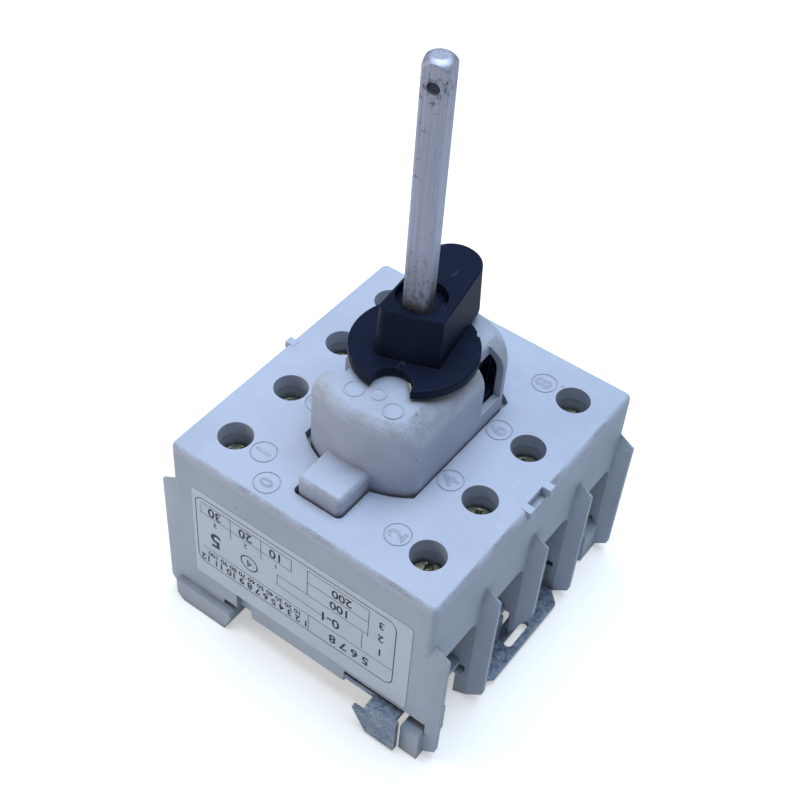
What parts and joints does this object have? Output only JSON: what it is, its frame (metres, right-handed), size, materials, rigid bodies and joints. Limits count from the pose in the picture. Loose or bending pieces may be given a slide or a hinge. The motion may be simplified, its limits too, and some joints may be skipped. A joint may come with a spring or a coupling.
{
  "type": "rotary switch",
  "caption": "Rail-mounted rotary switch-disconnector: boxed body with barrier fins, screw terminals, domed mechanism cap, black coupling and a long square shaft.",
  "frame": {"origin": "on the shaft's axis, in the plane of the housing's underside that sits on the rail", "axes": "+Z along the shaft to its tip, +X from the odd terminals to the even ones (towards the sprung clip), +Y along the rail; the rating label faces -Y"},
  "size_m": [0.071, 0.0764, 0.133],
  "materials": {
    "housing_plastic": "pale lavender-grey moulded polyamide, satin",
    "lid_plastic": "pale lavender-grey moulded polyamide, satin",
    "cover_plastic": "pale grey moulded polyamide, worn at the edges",
    "label_film": "matt silver-grey film with a ruled table",
    "black_plastic": "black moulded polyamide, satin",
    "inner_plastic": "natural moulded polyamide",
    "zinc_steel": "zinc-plated steel, spangled",
    "steel": "bright steel",
    "screw_steel": "yellowed zinc-plated steel",
    "copper": "bare copper",
    "silver": "silver contact metal",
    "aluminium": "drawn bar, scratched and stained"
  },
  "bodies": {
    "housing": {"base_housing": "housing_plastic", "top_cover": "lid_plastic", "mechanism_cover": "cover_plastic", "rating_label": "label_film", "terminal_screws": "screw_steel", "clamp_cages": "steel", "line_contacts": "copper", "load_contacts": "copper", "fixed_contact_tips": "silver", "bearing_plate": "steel", "mechanism_screws": "steel", "detent_guides": "inner_plastic", "detent_plungers": "steel", "detent_springs": "steel", "mechanism_frame": "black_plastic", "clip_spring": "steel"},
    "spindle": {"drive_spindle": "inner_plastic", "crank_pin": "steel", "detent_cam": "inner_plastic", "spindle_circlip": "steel", "shaft_coupling": "black_plastic", "coupling_grub_screw": "steel", "extension_shaft": "aluminium"},
    "carriage": {"contact_carriage": "inner_plastic", "contact_bridges": "copper", "bridge_tips": "silver", "bridge_springs": "steel"},
    "rail_clip": {"rail_clip": "zinc_steel"}
  },
  "joints": [
    {"name": "shaft_turn", "type": "hinge", "parent": "housing", "child": "spindle", "pos_m": [0, 0, 0.06], "axis": [0, 0, 1], "range_deg": [-14, 76]},
    {"name": "carriage_slide", "type": "slide", "parent": "housing", "child": "carriage", "axis": [0, 1, 0], "range_m": [-0.00141, 0.00765]},
    {"name": "clip_pull", "type": "slide", "parent": "housing", "child": "rail_clip", "axis": [1, 0, 0], "range_m": [0, 0.003], "stiffness_N_per_m": 2000, "springref_m": -0.002}
  ],
  "couplings": [
    {"joint": "shaft_turn", "follows": "carriage_slide", "rad_per_m": 173.43}
  ]
}
